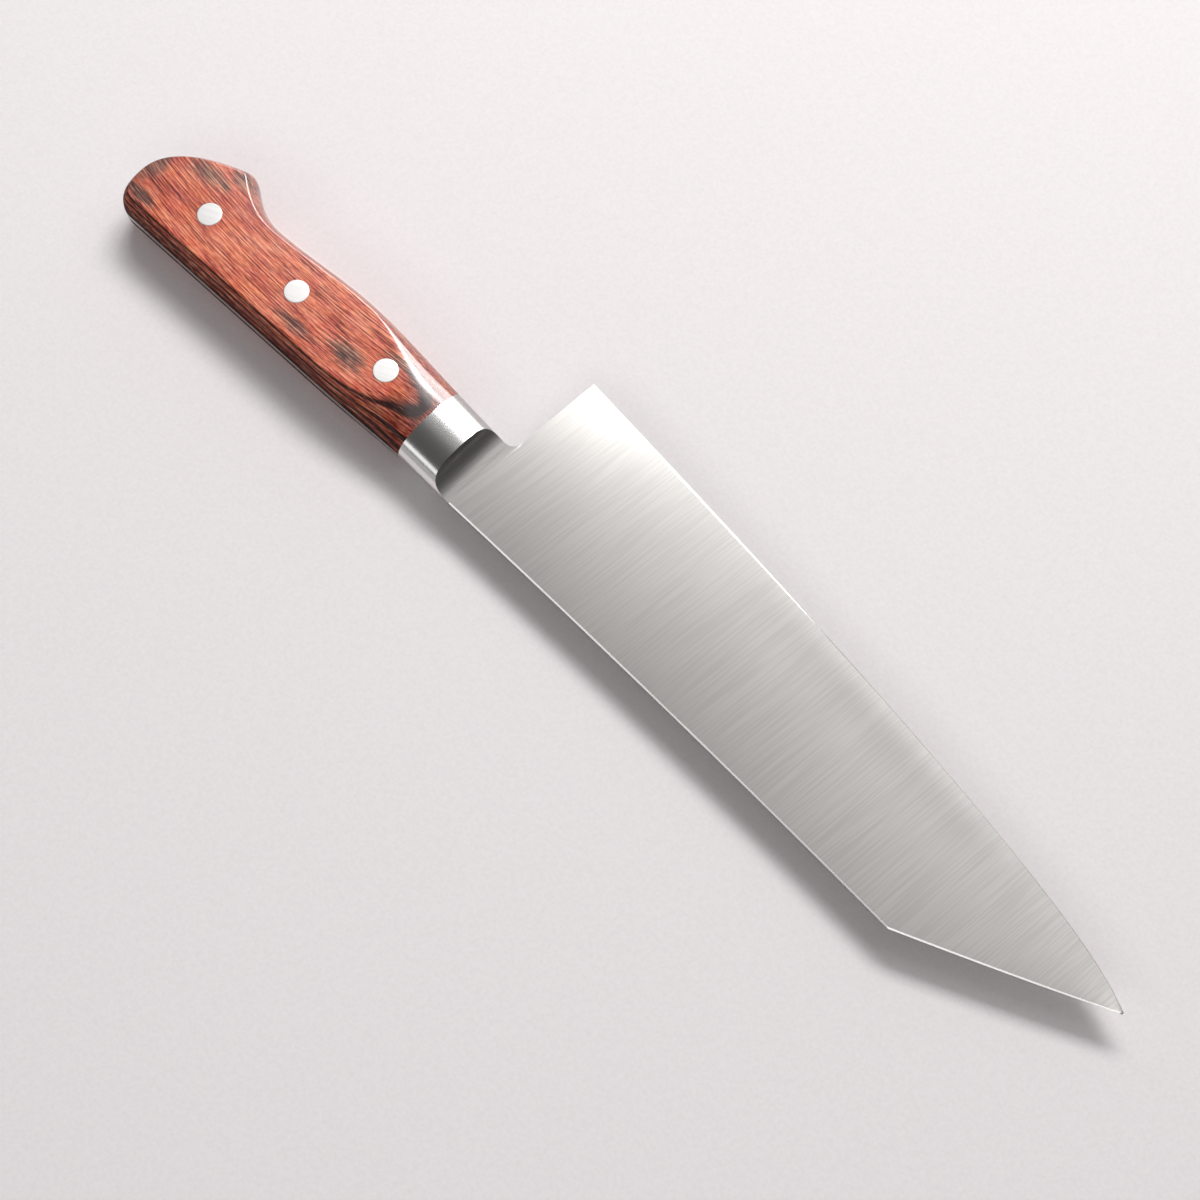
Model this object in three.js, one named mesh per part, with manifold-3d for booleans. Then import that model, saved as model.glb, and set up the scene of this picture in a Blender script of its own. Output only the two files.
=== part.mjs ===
// Kitchen knife with an angled tip: full-tang blade, welded bolster, riveted wooden scales.
// Millimetres. X runs from the butt to the tip, Y from the spine to the cutting edge, Z is up.
// Shapes are drawn about the rear face of the bolster (X = 0), the rivet line (Y = 0)
// and the blade's middle plane (Z = 0); at the end the knife is laid on its right scale.
import * as THREE from 'three';
import { mergeVertices } from 'three/addons/utils/BufferGeometryUtils.js';
import Module from 'manifold-3d';

// Blade
const bladeLength = 209.9;
const heelSetback = 23.5;
const heelDepth = 37.9;
const heelLean = 3.7;
const tipDepth = 4.3;
const angledTipLength = 56;
const angledTipDepth = 19.45;
const angledTipBulge = 0.7;
const angledTipBulgePlace = 0.65;
const neckSpineDepth = 13.65;
const spineBowSetback = 79.9;
const spineBowDepth = 15.07;
const edgeRunLength = 188;
const edgeRunDepth = 18.7;
const edgeSweepLength = 8.5;
const edgeSweepRise = 3.5;
const cornerThickness = 1.4;
const tipThickness = 0.6;
const shoulderThickness = 0.3;
const edgeBevelHeight = 0.9;
const edgeBevelShareAtTip = 0.33;
const heelGrindPower = 3;
const bladeGrindPower = 1.3;
const grindBlendLength = 45;

// Tang and neck
const tangThickness = 2;
const neckFingerDepth = 8.9;
const choilRadius = 3.4;

// Handle outline in the middle plane
const handleLength = 110.85;
const handleThickness = 17.6;
const handleSpineDepth = 13.5;
const spineEaseLength = 32;
const bellySetback = 36;
const bellyDepth = 12.85;
const waistFromButt = 41.85;
const waistDepth = 11;
const hookFromButt = 24.65;
const hookDepth = 18.45;
const hookRounding = 2.4;
const hookFlankRun = 9.6;
const hookTopRun = 11.7;
const buttTopDepth = 14.6;
const buttCrownDepth = 8.5;
const buttEndDepth = -3;
const buttCornerLength = 6.85;
const buttCornerLead = 5;
const buttCornerRise = 6.5;

// Handle section
const scaleSideInset = 2.6;
const scaleSidePower = 2.5;
const noseLength = 31;
const noseFall = 0.25;

// Bolster
const bolsterTopLength = 11.9;
const bolsterThickness = 13.6;
const bolsterSectionPower = 2.2;
const jointSpineDepth = 12.9;
const jointFingerDepth = 10.45;
const scoopRadius = 6;
const scoopToeThickness = 0.3;

// Rivets
const rivetNames = ['front', 'middle', 'rear'];
const frontRivetSetback = 16.7;
const rivetPitch = 34;
const rivetHeadDiameter = 7;
const rivetHeadThickness = 3;
const rivetBarrelDiameter = 4.6;
const rivetStemDiameter = 3;
const rivetClearance = 0.1;
const stemEndClearance = 0.5;

// Facets
const noseSteps = 18;
const gripSteps = 16;
const buttSteps = 26;
const wallLevels = 7;
const bolsterArcSteps = 12;
const choilSteps = 6;
const spineSteps = 26;
const angledTipSteps = 10;
const neckRows = 4;
const bladeRows = 10;
const rivetFacets = 32;
const scoopFacets = 48;
const searchSteps = 40;
const smallestDepth = 1e-6;

// Places that follow from the sizes above
const tangHalf = tangThickness / 2;
const faceHeight = handleThickness / 2;
const crownAtJoint = bolsterThickness / 2;
const buttX = -handleLength;
const waistX = buttX + waistFromButt;
const toeX = bolsterTopLength + scoopRadius;
const scoopWidth = 2 * (jointSpineDepth + neckSpineDepth + jointFingerDepth);
const tipPoint = new THREE.Vector2(heelSetback + bladeLength, tipDepth);
const heelCorner = new THREE.Vector2(heelSetback, heelDepth);
const heelSpine = new THREE.Vector2(heelSetback - heelLean, -neckSpineDepth);
const angledTipCorner = new THREE.Vector2(tipPoint.x - angledTipLength, -angledTipDepth);
const rivetPlaces = rivetNames.map((name, i) => ({ name, x: -frontRivetSetback - i * rivetPitch }));

const wasm = await Module();
wasm.setup();

// A closed surface made of facets that share their corner points
class Facets {
  constructor(mirrored = false) {
    this.mirrored = mirrored;
    this.positions = [];
    this.triangles = [];
    this.known = new Map();
  }

  corner(point) {
    const z = this.mirrored ? -point.z : point.z;
    const place = [point.x, point.y, z].map((value) => Math.round(value * 1e4) / 1e4 + 0);
    const key = place.join(',');
    if (!this.known.has(key)) {
      this.known.set(key, this.positions.length / 3);
      this.positions.push(...place);
    }
    return this.known.get(key);
  }

  triangle(a, b, c) {
    const corners = (this.mirrored ? [a, c, b] : [a, b, c]).map((point) => this.corner(point));
    if (new Set(corners).size === 3) this.triangles.push(...corners);
  }

  quad(a, b, c, d) {
    this.triangle(a, b, c);
    this.triangle(a, c, d);
  }

  geometry() {
    const result = new THREE.BufferGeometry();
    result.setAttribute('position', new THREE.Float32BufferAttribute(this.positions, 3));
    result.setIndex(this.triangles);
    return result;
  }
}

function toSolid(geometry) {
  const plain = geometry.clone();
  plain.deleteAttribute('normal');
  plain.deleteAttribute('uv');
  const merged = mergeVertices(plain, 1e-4);
  return new wasm.Manifold(new wasm.Mesh({
    numProp: 3,
    vertProperties: new Float32Array(merged.attributes.position.array),
    triVerts: new Uint32Array(merged.index.array),
  }));
}

function toGeometry(solid) {
  const mesh = solid.getMesh();
  const result = new THREE.BufferGeometry();
  result.setAttribute('position', new THREE.BufferAttribute(mesh.vertProperties, mesh.numProp));
  result.setIndex(new THREE.BufferAttribute(mesh.triVerts, 1));
  return result;
}

function cut(geometry, cutters) {
  const solid = cutters.reduce((rest, cutter) => rest.subtract(toSolid(cutter)), toSolid(geometry));
  return toGeometry(solid);
}

// Smooth step between two places with a slope given at each
function ease(x, x0, y0, slope0, x1, y1, slope1) {
  const t = (x - x0) / (x1 - x0);
  const run = x1 - x0;
  const t2 = t * t;
  const t3 = t2 * t;
  return (2 * t3 - 3 * t2 + 1) * y0 + (t3 - 2 * t2 + t) * run * slope0
    + (3 * t2 - 2 * t3) * y1 + (t3 - t2) * run * slope1;
}

// Handle outline between the joint and the waist, as depths below and above the rivet line
const bolsterFingerSlope = (neckFingerDepth - jointFingerDepth) / toeX;
const spineJointSlope = (jointSpineDepth - handleSpineDepth) / spineEaseLength;

function gripSpine(x) {
  if (x < -spineEaseLength) return -handleSpineDepth;
  return -ease(x, 0, jointSpineDepth, spineJointSlope, -spineEaseLength, handleSpineDepth, 0);
}

function gripFinger(x) {
  if (x > -bellySetback) {
    return ease(x, 0, jointFingerDepth, bolsterFingerSlope, -bellySetback, bellyDepth, 0);
  }
  return ease(x, -bellySetback, bellyDepth, 0, waistX, waistDepth, 0);
}

// Handle outline behind the waist: straight back and rounded corner, hook and rounded butt
function buttSpinePath() {
  const path = new THREE.Path();
  path.moveTo(waistX, -handleSpineDepth);
  path.lineTo(buttX + buttCornerLength, -handleSpineDepth);
  path.bezierCurveTo(
    buttX + buttCornerLength - buttCornerLead, -handleSpineDepth,
    buttX, buttEndDepth - buttCornerRise,
    buttX, buttEndDepth,
  );
  return path;
}

function buttFingerPath() {
  const hook = new THREE.Vector2(buttX + hookFromButt, hookDepth);
  const flank = new THREE.Vector2(hook.x + hookFlankRun, waistDepth);
  const top = new THREE.Vector2(hook.x - hookTopRun, buttTopDepth);
  const flankEnd = hook.clone().add(flank.clone().sub(hook).setLength(hookRounding));
  const topStart = hook.clone().add(top.clone().sub(hook).setLength(hookRounding));
  const path = new THREE.Path();
  path.moveTo(waistX, waistDepth);
  path.quadraticCurveTo(flank.x, flank.y, flankEnd.x, flankEnd.y);
  path.quadraticCurveTo(hook.x, hook.y, topStart.x, topStart.y);
  path.bezierCurveTo(top.x, top.y, buttX, buttCrownDepth, buttX, buttEndDepth);
  return path;
}

// Pairs of points, spine side and finger side, with the directions that lead into the wood
function handleStations() {
  const stations = [];
  const addPair = (x) => stations.push({
    spine: new THREE.Vector2(x, gripSpine(x)),
    finger: new THREE.Vector2(x, gripFinger(x)),
    spineInward: new THREE.Vector2(0, 1),
    fingerInward: new THREE.Vector2(0, -1),
  });
  for (let i = 0; i < noseSteps; i += 1) addPair((-noseLength * i) / noseSteps);
  const gripLength = -waistX - noseLength;
  for (let i = 0; i < gripSteps; i += 1) addPair(-noseLength - (gripLength * i) / gripSteps);
  const spinePath = buttSpinePath();
  const fingerPath = buttFingerPath();
  for (let i = 0; i <= buttSteps; i += 1) {
    const share = i / buttSteps;
    const along = spinePath.getTangentAt(share);
    const back = fingerPath.getTangentAt(share);
    stations.push({
      spine: spinePath.getPointAt(share),
      finger: fingerPath.getPointAt(share),
      spineInward: new THREE.Vector2(along.y, -along.x),
      fingerInward: new THREE.Vector2(-back.y, back.x),
    });
  }
  const end = stations[stations.length - 1];
  end.spine.set(buttX, buttEndDepth);
  end.finger.copy(end.spine);
  end.spineInward.set(1, 0);
  end.fingerInward.set(1, 0);
  return stations;
}

// Height at which the sides of the section would meet, over the distance from the joint
function crownHeight(distance, halfWidth) {
  const gripCrown = faceHeight * (halfWidth / scaleSideInset) ** (1 / scaleSidePower);
  if (distance >= noseLength) return gripCrown;
  const rest = gripCrown - crownAtJoint - noseFall * noseLength;
  return crownAtJoint + noseFall * distance + rest * (distance / noseLength) ** 2;
}

// One rib of the scale's surface, from the tang up the side to the flat face or the crown
function sideRib(start, inward, halfWidth, distance) {
  const nose = Math.max(0, 1 - distance / noseLength);
  const acrossPower = THREE.MathUtils.lerp(1, bolsterSectionPower, nose);
  const heightPower = THREE.MathUtils.lerp(scaleSidePower, bolsterSectionPower, nose);
  const crown = crownHeight(distance, halfWidth);
  const top = Math.min(faceHeight, crown);
  const rib = [];
  for (let level = 0; level <= wallLevels; level += 1) {
    const rise = Math.sin((Math.PI / 2) * (level / wallLevels));
    const height = tangHalf + (top - tangHalf) * rise;
    const across = Math.max(0, 1 - (height / crown) ** heightPower) ** (1 / acrossPower);
    const foot = Math.max(0, 1 - (tangHalf / crown) ** heightPower) ** (1 / acrossPower);
    const inset = halfWidth * (1 - across / foot);
    rib.push(new THREE.Vector3(start.x + inward.x * inset, start.y + inward.y * inset, height));
  }
  return rib;
}

const stations = handleStations();

function scaleGeometry(mirrored) {
  const facets = new Facets(mirrored);
  const gripHalfWidth = (waistDepth + handleSpineDepth) / 2;
  const ribs = stations.map((station) => {
    const distance = Math.max(-station.spine.x, 0);
    const inGrip = station.spine.x > waistX;
    const halfWidth = inGrip ? (station.finger.y - station.spine.y) / 2 : gripHalfWidth;
    return {
      spine: sideRib(station.spine, station.spineInward, halfWidth, distance),
      finger: sideRib(station.finger, station.fingerInward, halfWidth, distance),
    };
  });
  for (let i = 0; i + 1 < ribs.length; i += 1) {
    const here = ribs[i];
    const next = ribs[i + 1];
    for (let j = 0; j < wallLevels; j += 1) {
      facets.quad(here.spine[j], here.spine[j + 1], next.spine[j + 1], next.spine[j]);
      facets.quad(here.finger[j], next.finger[j], next.finger[j + 1], here.finger[j + 1]);
    }
    const top = wallLevels;
    facets.quad(here.spine[top], here.finger[top], next.finger[top], next.spine[top]);
    facets.quad(here.spine[0], next.spine[0], next.finger[0], here.finger[0]);
  }
  const front = ribs[0];
  for (let j = 0; j < wallLevels; j += 1) {
    facets.quad(front.spine[j], front.finger[j], front.finger[j + 1], front.spine[j + 1]);
  }
  const side = mirrored ? -1 : 1;
  const shoulder = faceHeight - rivetHeadThickness;
  const holes = rivetPlaces.flatMap(({ x }) => [
    roundHole(x, rivetBarrelDiameter / 2 + rivetClearance, 0, side * handleThickness),
    roundHole(x, rivetHeadDiameter / 2 + rivetClearance, side * shoulder, side * handleThickness),
  ]);
  return cut(facets.geometry(), holes);
}

function roundHole(x, radius, from, to) {
  const hole = new THREE.CylinderGeometry(radius, radius, Math.abs(to - from), rivetFacets);
  hole.rotateX(Math.PI / 2);
  hole.translate(x, 0, (from + to) / 2);
  return hole;
}

// Bolster half: an oval block from the joint to the toe, hollowed by a round scoop in front
function bolsterEdge(x) {
  const share = x / toeX;
  return {
    spine: -THREE.MathUtils.lerp(jointSpineDepth, neckSpineDepth, share),
    finger: THREE.MathUtils.lerp(jointFingerDepth, neckFingerDepth, share),
  };
}

function bolsterSection(x) {
  const { spine, finger } = bolsterEdge(x);
  const middle = (spine + finger) / 2;
  const halfWidth = (finger - spine) / 2;
  const round = 2 / bolsterSectionPower;
  const footAngle = Math.asin((tangHalf / crownAtJoint) ** (1 / round));
  const footReach = Math.cos(footAngle) ** round;
  const section = [];
  for (let i = 0; i <= bolsterArcSteps; i += 1) {
    const angle = THREE.MathUtils.lerp(Math.PI - footAngle, footAngle, i / bolsterArcSteps);
    const across = Math.cos(angle);
    const reach = Math.sign(across) * Math.abs(across) ** round;
    const height = crownAtJoint * Math.sin(angle) ** round;
    section.push(new THREE.Vector3(x, middle + (halfWidth * reach) / footReach, height));
  }
  return section;
}

function bolsterGeometry(mirrored) {
  const facets = new Facets(mirrored);
  const rear = bolsterSection(0);
  const front = bolsterSection(toeX);
  const last = bolsterArcSteps;
  for (let i = 0; i < last; i += 1) {
    facets.quad(rear[i], front[i], front[i + 1], rear[i + 1]);
  }
  facets.quad(rear[0], rear[last], front[last], front[0]);
  for (let i = 1; i < last; i += 1) {
    facets.triangle(rear[0], rear[i], rear[i + 1]);
    facets.triangle(front[0], front[i + 1], front[i]);
  }
  const side = mirrored ? -1 : 1;
  const scoop = new THREE.CylinderGeometry(scoopRadius, scoopRadius, scoopWidth, scoopFacets);
  scoop.translate(toeX, 0, side * (tangHalf + scoopToeThickness + scoopRadius));
  return cut(facets.geometry(), [scoop]);
}

// Blade outline ahead of the neck
function spineCurve() {
  const bow = new THREE.Vector2(heelSpine.x + spineBowSetback, -spineBowDepth);
  return new THREE.QuadraticBezierCurve(heelSpine, bow, angledTipCorner);
}

function angledTipCurve() {
  const along = tipPoint.clone().sub(angledTipCorner);
  const outward = new THREE.Vector2(along.y, -along.x).setLength(angledTipBulge);
  const bulge = angledTipCorner.clone().addScaledVector(along, angledTipBulgePlace).add(outward);
  return new THREE.QuadraticBezierCurve(angledTipCorner, bulge, tipPoint);
}

function edgeCurve() {
  const run = new THREE.Vector2(heelCorner.x + edgeRunLength, edgeRunDepth);
  const sweep = new THREE.Vector2(tipPoint.x - edgeSweepLength, tipPoint.y + edgeSweepRise);
  return new THREE.CubicBezierCurve(heelCorner, run, sweep, tipPoint);
}

// Point of the cutting edge that lies at a given place along the blade
function edgeAt(curve, x) {
  let low = 0;
  let high = 1;
  for (let i = 0; i < searchSteps; i += 1) {
    const middle = (low + high) / 2;
    if (curve.getPoint(middle).x < x) low = middle;
    else high = middle;
  }
  return curve.getPoint((low + high) / 2);
}

function bladeStations() {
  const spine = spineCurve();
  const angledTip = angledTipCurve();
  const edge = edgeCurve();
  const result = [];
  for (let i = 0; i < spineSteps; i += 1) {
    const point = spine.getPoint(i / spineSteps);
    const share = (point.x - heelSpine.x) / (angledTipCorner.x - heelSpine.x);
    result.push({ spine: point, edge: edgeAt(edge, point.x + heelLean * (1 - share)) });
  }
  for (let i = 0; i < angledTipSteps; i += 1) {
    const point = angledTip.getPoint(i / angledTipSteps);
    result.push({ spine: point, edge: edgeAt(edge, point.x) });
  }
  result[0].edge = heelCorner.clone();
  result.push({ spine: tipPoint.clone(), edge: tipPoint.clone() });
  return result;
}

function spineHalfThickness(x) {
  if (x <= heelSpine.x) return tangHalf;
  if (x <= angledTipCorner.x) {
    const share = (x - heelSpine.x) / (angledTipCorner.x - heelSpine.x);
    return THREE.MathUtils.lerp(tangHalf, cornerThickness / 2, share);
  }
  const share = (x - angledTipCorner.x) / angledTipLength;
  return THREE.MathUtils.lerp(cornerThickness / 2, tipThickness / 2, share);
}

// Point where the choil's round meets the heel
const heelLine = heelCorner.clone().sub(heelSpine);
const choilShare = (neckFingerDepth + choilRadius + neckSpineDepth) / heelLine.y;
const choilTop = heelSpine.clone().addScaledVector(heelLine, choilShare);

// Shares of the blade's depth at which its rows of facets lie, down to the bevel's shoulder
function rowShares() {
  const shoulder = heelLine.length() - edgeBevelHeight;
  const choil = (choilShare * heelLine.length()) / shoulder;
  const shares = [];
  for (let row = 0; row < bladeRows; row += 1) {
    const beyond = (row - neckRows) / (bladeRows - 1 - neckRows);
    shares.push(row <= neckRows ? (choil * row) / neckRows : choil + (1 - choil) * beyond);
  }
  return shares;
}

function bladeColumn(station, shares) {
  const depth = station.spine.distanceTo(station.edge);
  if (depth < smallestDepth) {
    const tip = new THREE.Vector3(station.spine.x, station.spine.y, 0);
    return Array(bladeRows + 1).fill(tip);
  }
  const bevel = Math.min(edgeBevelHeight, depth * edgeBevelShareAtTip);
  const shoulder = station.edge.clone().lerp(station.spine, bevel / depth);
  const thick = spineHalfThickness(station.spine.x);
  const blend = Math.min(1, (station.spine.x - heelSpine.x) / grindBlendLength);
  const power = THREE.MathUtils.lerp(heelGrindPower, bladeGrindPower, blend);
  const column = shares.map((share) => {
    const point = station.spine.clone().lerp(shoulder, share);
    const half = THREE.MathUtils.lerp(thick, Math.min(thick, shoulderThickness / 2), share ** power);
    return new THREE.Vector3(point.x, point.y, half);
  });
  column.push(new THREE.Vector3(station.edge.x, station.edge.y, 0));
  return column;
}

function plainColumn(spine, finger) {
  const column = [];
  for (let row = 0; row <= neckRows; row += 1) {
    const point = spine.clone().lerp(finger, row / neckRows);
    column.push(new THREE.Vector3(point.x, point.y, tangHalf));
  }
  return column;
}

// Neck columns between the bolster's toe and the heel, with the choil's round on the finger side
// and a thickness that passes smoothly into that of the heel
function choilColumns(heel) {
  const path = new THREE.Path();
  const cornerX = choilTop.x - (choilRadius * heelLean) / heelLine.y;
  const roundStart = Math.max(toeX, cornerX - choilRadius);
  path.moveTo(toeX, neckFingerDepth);
  path.lineTo(roundStart, neckFingerDepth);
  path.quadraticCurveTo(cornerX, neckFingerDepth, choilTop.x, choilTop.y);
  const neckSpine = new THREE.Vector2(toeX, -neckSpineDepth);
  const columns = [];
  for (let i = 0; i < choilSteps; i += 1) {
    const share = i / choilSteps;
    const column = plainColumn(neckSpine.clone().lerp(heelSpine, share), path.getPointAt(share));
    const blend = THREE.MathUtils.smoothstep(share, 0, 1);
    column.forEach((point, row) => {
      point.z = THREE.MathUtils.lerp(tangHalf, heel[row].z, blend);
    });
    columns.push(column);
  }
  return columns;
}

function below(point) {
  return new THREE.Vector3(point.x, point.y, -point.z);
}

// Joins two neighbouring columns with facets above and below, and with walls where the outline runs
function joinColumns(facets, here, next, rows, fingerWall) {
  for (let row = 0; row < rows; row += 1) {
    const ring = [here[row], next[row], next[row + 1], here[row + 1]];
    facets.quad(...ring);
    facets.quad(...ring.map(below).reverse());
  }
  facets.quad(here[0], below(here[0]), below(next[0]), next[0]);
  if (fingerWall) {
    facets.quad(here[rows], next[rows], below(next[rows]), below(here[rows]));
  }
}

function bladeGeometry() {
  const facets = new Facets();
  const tang = stations.map((station) => plainColumn(station.spine, station.finger)).reverse();
  const blade = bladeStations();
  const shares = rowShares();
  const columns = blade.map((station) => bladeColumn(station, shares));
  const heel = columns[0];
  const neck = [...tang, ...choilColumns(heel), heel.slice(0, neckRows + 1)];
  for (let i = 0; i + 1 < neck.length; i += 1) {
    joinColumns(facets, neck[i], neck[i + 1], neckRows, true);
  }
  for (let row = neckRows; row < bladeRows; row += 1) {
    facets.quad(heel[row], heel[row + 1], below(heel[row + 1]), below(heel[row]));
  }
  for (let i = 0; i + 1 < columns.length; i += 1) {
    joinColumns(facets, columns[i], columns[i + 1], bladeRows, false);
  }
  const holeRadius = rivetBarrelDiameter / 2 + rivetClearance;
  const holes = rivetPlaces.map(({ x }) => roundHole(x, holeRadius, -tangThickness, tangThickness));
  return cut(facets.geometry(), holes);
}

// Two-part rivets: a barrel with its head on the left scale, a stem with its head on the right one
function turned(profile) {
  const points = profile.map(([radius, height]) => new THREE.Vector2(radius, height));
  const geometry = new THREE.LatheGeometry(points, rivetFacets);
  geometry.rotateX(Math.PI / 2);
  return geometry;
}

function rivetBarrelGeometry() {
  const shoulder = faceHeight - rivetHeadThickness;
  const bore = rivetStemDiameter / 2 + rivetClearance;
  const end = -shoulder + stemEndClearance;
  return turned([
    [0, faceHeight],
    [rivetHeadDiameter / 2, faceHeight],
    [rivetHeadDiameter / 2, shoulder],
    [rivetBarrelDiameter / 2, shoulder],
    [rivetBarrelDiameter / 2, end],
    [bore, end],
    [bore, shoulder],
    [0, shoulder],
  ].reverse());
}

function rivetStemGeometry() {
  const shoulder = faceHeight - rivetHeadThickness;
  return turned([
    [0, shoulder - stemEndClearance],
    [rivetStemDiameter / 2, shoulder - stemEndClearance],
    [rivetStemDiameter / 2, -shoulder],
    [rivetHeadDiameter / 2, -shoulder],
    [rivetHeadDiameter / 2, -faceHeight],
    [0, -faceHeight],
  ].reverse());
}

// Finishes
const satinSteel = { color: 0xb9b7b3, roughness: 0.35, metalness: 1 };
const polishedSteel = { color: 0xd2d1cf, roughness: 0.12, metalness: 1 };
const rivetSteel = { color: 0xe6e5e2, roughness: 0.3, metalness: 1 };
const redLaminate = { color: 0xa8452c, roughness: 0.3, metalness: 0 };

function piece(name, geometry, finish) {
  const mesh = new THREE.Mesh(geometry, new THREE.MeshStandardMaterial(finish));
  mesh.name = name;
  return mesh;
}

const knife = new THREE.Group();
knife.add(piece('blade', bladeGeometry(), satinSteel));
knife.add(piece('bolster_left', bolsterGeometry(false), polishedSteel));
knife.add(piece('bolster_right', bolsterGeometry(true), polishedSteel));
knife.add(piece('scale_left', scaleGeometry(false), redLaminate));
knife.add(piece('scale_right', scaleGeometry(true), redLaminate));
for (const { name, x } of rivetPlaces) {
  const barrel = piece(`rivet_${name}_barrel`, rivetBarrelGeometry(), rivetSteel);
  const stem = piece(`rivet_${name}_stem`, rivetStemGeometry(), rivetSteel);
  barrel.position.x = x;
  stem.position.x = x;
  knife.add(barrel, stem);
}

// The knife lies on its right scale, centred over the origin
const box = new THREE.Box3().setFromObject(knife);
const middle = box.getCenter(new THREE.Vector3());
knife.position.set(-middle.x, -middle.y, faceHeight);

const model = new THREE.Group();
model.add(knife);

export default model;
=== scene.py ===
import math
import bpy
import numpy as np
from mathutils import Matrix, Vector


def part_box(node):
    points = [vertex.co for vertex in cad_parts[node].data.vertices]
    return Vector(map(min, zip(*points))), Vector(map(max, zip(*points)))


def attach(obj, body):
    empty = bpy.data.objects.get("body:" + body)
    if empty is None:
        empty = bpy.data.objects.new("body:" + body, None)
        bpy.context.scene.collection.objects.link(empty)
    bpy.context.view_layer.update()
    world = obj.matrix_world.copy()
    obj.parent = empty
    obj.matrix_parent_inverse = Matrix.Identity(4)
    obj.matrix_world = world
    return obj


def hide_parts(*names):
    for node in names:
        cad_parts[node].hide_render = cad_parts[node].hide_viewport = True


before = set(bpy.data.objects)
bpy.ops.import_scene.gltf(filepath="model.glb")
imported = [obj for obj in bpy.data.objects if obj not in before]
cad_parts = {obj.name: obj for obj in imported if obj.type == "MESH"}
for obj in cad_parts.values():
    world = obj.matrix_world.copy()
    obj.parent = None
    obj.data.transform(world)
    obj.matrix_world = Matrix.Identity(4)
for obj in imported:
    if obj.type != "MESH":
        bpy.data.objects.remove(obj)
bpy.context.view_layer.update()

scene = bpy.context.scene
mm = 0.001
weldSteps = 20000  # corners nearer than one step of a millimetre are one point
curveSamples = 400  # fine points along a curve before it is spaced evenly
tiny = 1e-9  # anything smaller counts as nothing

# the knife's own millimetres: x from the scale joint to the tip, y from the rivet line to the edge,
# z from the blade's middle plane up
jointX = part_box("scale_left")[1].x
lineY = sum(corner.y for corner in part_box("rivet_front_barrel")) / 2
middleZ = sum(corner.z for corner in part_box("blade")) / 2


def toFrame(points):
    return [(jointX + x * mm, lineY + y * mm, middleZ + z * mm) for x, y, z in points]


def knifeBox(node):
    low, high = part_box(node)
    shift = Vector((jointX, lineY, middleZ))
    return (low - shift) / mm, (high - shift) / mm


def lerp(a, b, t):
    return a + (b - a) * t


def smooth(t):
    t = min(1.0, max(0.0, t))
    return t * t * (3 - 2 * t)


def fadeIn(x, start, end):
    return smooth((x - start) / (end - start))


def bezier(controls, t):
    points = [np.array(c, float) for c in controls]
    while len(points) > 1:
        points = [lerp(a, b, t) for a, b in zip(points, points[1:])]
    return points[0]


def ease(x, x0, y0, slope0, x1, y1, slope1):
    t = (x - x0) / (x1 - x0)
    run = x1 - x0
    start = (2 * t**3 - 3 * t**2 + 1) * y0 + (t**3 - 2 * t**2 + t) * run * slope0
    return start + (3 * t**2 - 2 * t**3) * y1 + (t**3 - t**2) * run * slope1


# a mesh whose faces share their corner points; flat or repeated corners drop out
class Skin:
    def __init__(self):
        self.points = []
        self.known = {}
        self.faces = []

    def corner(self, point):
        key = tuple(int(round(v * weldSteps)) for v in point)
        if key not in self.known:
            self.known[key] = len(self.points)
            self.points.append(tuple(point))
        return self.known[key]

    def face(self, *corners):
        ring = []
        for corner in corners:
            index = self.corner(corner)
            if index not in ring:
                ring.append(index)
        if len(ring) > 2:
            self.faces.append(ring)

    def strip(self, here, following):
        for a, b, c, d in zip(here, here[1:], following[1:], following):
            self.face(a, b, c, d)

    def piece(self, name, nodes, slotName, sharpAngle=35):
        mesh = bpy.data.meshes.new(name)
        mesh.from_pydata(toFrame(self.points), [], self.faces)
        mesh.validate()
        mesh.shade_smooth()
        mesh.set_sharp_from_angle(angle=math.radians(sharpAngle))
        made = bpy.data.objects.new(name, mesh)
        scene.collection.objects.link(made)
        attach(made, "root")
        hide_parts(*nodes)
        return made


# handle outline in the middle plane, shared by the tang and the scales
handle = {
    "length": -knifeBox("scale_left")[0].x,
    "face": knifeBox("scale_left")[1].z,
    "tangHalf": knifeBox("blade")[1].z,
    "spineDepth": 13.5,
    "jointSpine": 12.9,
    "jointFinger": 10.45,
    "fingerSlope": -0.0866,
    "spineEase": 32.0,
    "bellyX": -36.0,
    "belly": 12.85,
    "waistX": -69.0,
    "waist": 11.0,
    "hook": (-86.2, 18.45),
    "hookRounding": 2.4,
    "flankLead": (-76.6, 11.0),
    "topLead": (-97.9, 14.6),
    "crownDepth": 8.5,
    "endDepth": -3.0,
    "cornerLength": 6.85,
    "cornerLead": 5.0,
    "cornerRise": 6.5,
    "steps": {"nose": 62, "grip": 44, "butt": 110},
    "noseLength": 31.0,
}


def gripSpine(x):
    s = handle
    if x < -s["spineEase"]:
        return -s["spineDepth"]
    slope = (s["jointSpine"] - s["spineDepth"]) / s["spineEase"]
    return -ease(x, 0, s["jointSpine"], slope, -s["spineEase"], s["spineDepth"], 0)


def gripFinger(x):
    s = handle
    if x > s["bellyX"]:
        return ease(x, 0, s["jointFinger"], s["fingerSlope"], s["bellyX"], s["belly"], 0)
    return ease(x, s["bellyX"], s["belly"], 0, s["waistX"], s["waist"], 0)


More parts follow.
